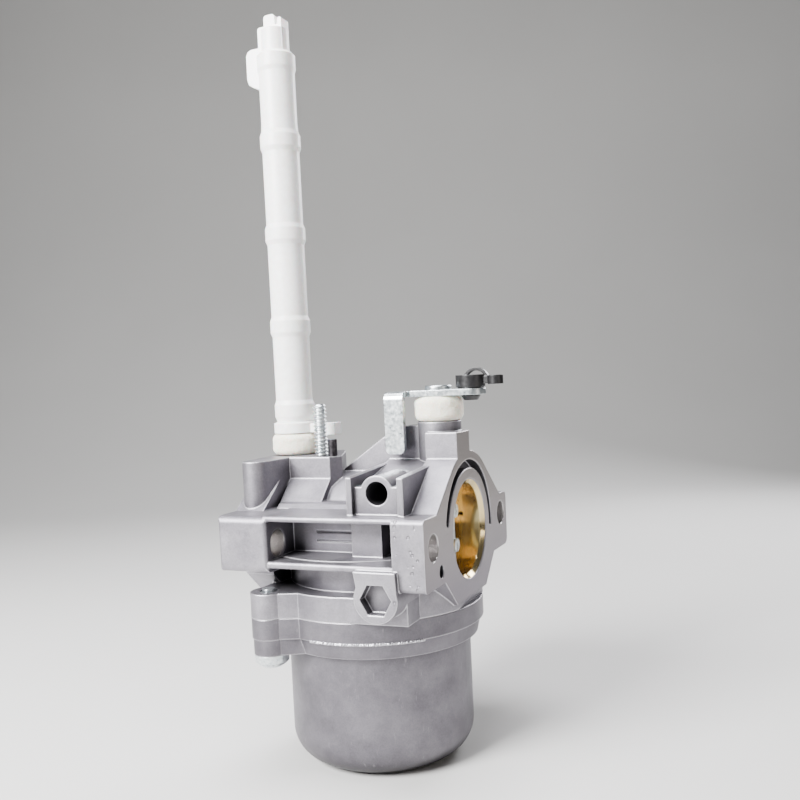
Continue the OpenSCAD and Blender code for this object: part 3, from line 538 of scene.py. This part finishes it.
def foam_ring(name, node_name, bore_r, seed):
    """Felt ring squeezed between two flat faces: its sides swell a little and its skin is lumpy."""
    low, high = [[value / MM for value in corner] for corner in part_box(node_name)]
    axis_x, axis_y = (low[0] + high[0]) / 2, (low[1] + high[1]) / 2
    outer, tall = (high[0] - low[0]) / 2, high[2] - low[2]
    around, soft = 96, 1.9
    outline = [(bore_r, 0.0), (bore_r + 0.8, 0.0)]
    for i in range(9):
        a = -math.pi / 2 + math.pi / 2 * i / 8
        outline.append((outer - soft + soft * math.cos(a), soft + soft * math.sin(a)))
    for i in range(1, 5):
        outline.append((outer, soft + (tall - 2 * soft) * i / 5))
    for i in range(9):
        a = math.pi / 2 * i / 8
        outline.append((outer - soft + soft * math.cos(a), tall - soft + soft * math.sin(a)))
    outline += [(bore_r + 0.8, tall), (bore_r, tall)]
    rows = []
    for j in range(around):
        a = 2 * math.pi * j / around
        row = []
        for reach, rise in outline:
            spot = Vector((reach * math.cos(a), reach * math.sin(a), rise))
            lump = noise.noise(spot * 0.55 + Vector((seed, 0,
                                                     0))) * 0.16 + noise.noise(spot * 1.7) * 0.07
            on_side = max(0.0, min(1.0, (reach - bore_r - 1.0) / 1.5))
            grown = min(outer, reach + (lump - 0.1) * on_side)
            row.append((axis_x + grown * math.cos(a), axis_y + grown * math.sin(a), low[2] + rise))
        rows.append(row)
    rows.append(rows[0])
    corners, faces, wide = skin_rows(rows)
    made = piece_from(name, corners, faces, shaft_foam, "carburetor")
    join_seam(made)
    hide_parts(node_name)


def join_seam(made):
    """Closes the seam where the last row of points meets the first."""
    shape = bmesh.new()
    shape.from_mesh(made.data)
    bmesh.ops.remove_doubles(shape, verts=shape.verts, dist=0.001 * MM)
    bmesh.ops.recalc_face_normals(shape, faces=shape.faces)
    shape.to_mesh(made.data)
    shape.free()


def ragged_ribbon(name, path, outward, rise, thick, reach, seed):
    """A low torn ridge along a path, with a broken edge: thick sets its foot, reach how far it
    stands out."""
    chance = random.Random(seed)
    rows = []
    for i, (spot, out) in enumerate(zip(path, outward)):
        end = min(i, len(path) - 1 - i) / 4
        tall = reach * min(1.0, end) * (0.25 + 0.75 * chance.random() ** 1.5)
        drift = thick * 0.35 * (chance.random() - 0.5)
        a, b = Vector(spot), Vector(out)
        up_by = Vector(rise)
        rows.append([tuple(a - b * 0.12 - up_by * thick / 2),
                     tuple(a + b * tall * 0.7 - up_by * (thick * 0.22 - drift)),
                     tuple(a + b * tall + up_by * drift),
                     tuple(a + b * tall * 0.6 + up_by * (thick * 0.25 + drift)),
                     tuple(a - b * 0.12 + up_by * thick / 2)])
    corners, faces, wide = skin_rows(rows)
    faces.append(tuple(range(wide)))
    faces.append(tuple(range(len(corners) - wide, len(corners))))
    return piece_from(name, corners, faces, torn_flash, "carburetor", smooth=False)


def bowl_flange_flash():
    """Broken flash round the front of the bowl's flange, at its mould joint."""
    path, outward = [], []
    for i in range(130):
        a = math.radians(-103 + 61 * i / 129)
        out = (math.cos(a), math.sin(a), 0.0)
        path.append((BOWL_X + BOWL_FLANGE_R * out[0], BOWL_FLANGE_R * out[1], BOWL_STEP_Z))
        outward.append(out)
    ragged_ribbon("bowl_flange_flash", path, outward, (0, 0, 1), 0.9, 0.6, 11)


helical_stud()
foam_ring("throttle_shaft_foam", "throttle_shaft_seal", 3.3, 3.0)
foam_ring("choke_shaft_foam", "choke_shaft_seal", 3.3, 8.0)
bowl_flange_flash()


# ---------- studio ----------

def pale_sweep():
    """A plain pale floor that rolls up into a wall behind, so that no horizon shows."""
    material, tree = blank("painted_studio_sweep")
    place = add(tree, "ShaderNodeTexCoord").outputs["Object"]
    cloud = add(tree, "ShaderNodeTexNoise", values={"Scale": 5.0, "Detail": 3.0},
                links={"Vector": place})
    tone = add(tree, "ShaderNodeValToRGB", None, None, {"Fac": cloud.outputs["Fac"]})
    tone.color_ramp.elements[0].color = paint("#c6c5c3")
    tone.color_ramp.elements[1].color = paint("#d0cfcd")
    shader = add(tree, "ShaderNodeBsdfPrincipled", None, {"Roughness": 0.85},
                 {"Base Color": tone.outputs["Color"]})
    add(tree, "ShaderNodeOutputMaterial", None, None, {"Surface": shader.outputs["BSDF"]})
    low = cad_box[0][2] - 0.0002
    away = -Vector((back.x, back.y, 0)).normalized()
    across = Vector((-away.y, away.x, 0))
    line = [(-2.5, 0.0), (0.5, 0.0)]
    for i in range(1, 25):
        a = math.pi / 2 * i / 24
        line.append((0.5 + 0.5 * math.sin(a), 0.5 - 0.5 * math.cos(a)))
    line.append((1.0, 2.5))
    rows = [[tuple(away * far + across * side + Vector((0, 0, low + rise))) for side in (-2.5, 2.5)]
            for far, rise in line]
    mesh = bpy.data.meshes.new("studio_sweep")
    corners, faces, _ = skin_rows(rows, close_round=False)
    mesh.from_pydata(corners, [], faces)
    for face in mesh.polygons:
        face.use_smooth = True
    mesh.materials.append(material)
    sweep = bpy.data.objects.new("studio_sweep", mesh)
    bpy.context.scene.collection.objects.link(sweep)


def softbox(name, place_mm, aim_mm, size_mm, watts, hex_tone):
    lamp = bpy.data.lights.new(name, "AREA")
    lamp.shape = "RECTANGLE"
    lamp.size, lamp.size_y = size_mm[0] * MM, size_mm[1] * MM
    lamp.energy = watts
    lamp.color = paint(hex_tone)[:3]
    box = bpy.data.objects.new(name, lamp)
    box.location = Vector(place_mm) * MM
    box.rotation_euler = (Vector(aim_mm) - Vector(place_mm)).to_track_quat("-Z", "Y").to_euler()
    bpy.context.scene.collection.objects.link(box)


pale_sweep()
softbox("key_softbox", (-230, -420, 300), (-30, 0, 10), (240, 240), 13.6, "#ffffff")
softbox("top_softbox", (-60, -40, 460), (-30, 0, 20), (200, 200), 4.0, "#fbfbff")
softbox("right_softbox", (420, -160, 160), (-10, 0, 0), (120, 240), 0.35, "#fff6ee")
softbox("back_softbox", (120, 480, 260), (-30, 0, 20), (240, 240), 3.0, "#fbfbff")
world = bpy.data.worlds.new("studio_air")
world.use_nodes = True
world.node_tree.nodes["Background"].inputs["Color"].default_value = paint("#c8cad0")
world.node_tree.nodes["Background"].inputs["Strength"].default_value = 0.1
bpy.context.scene.world = world
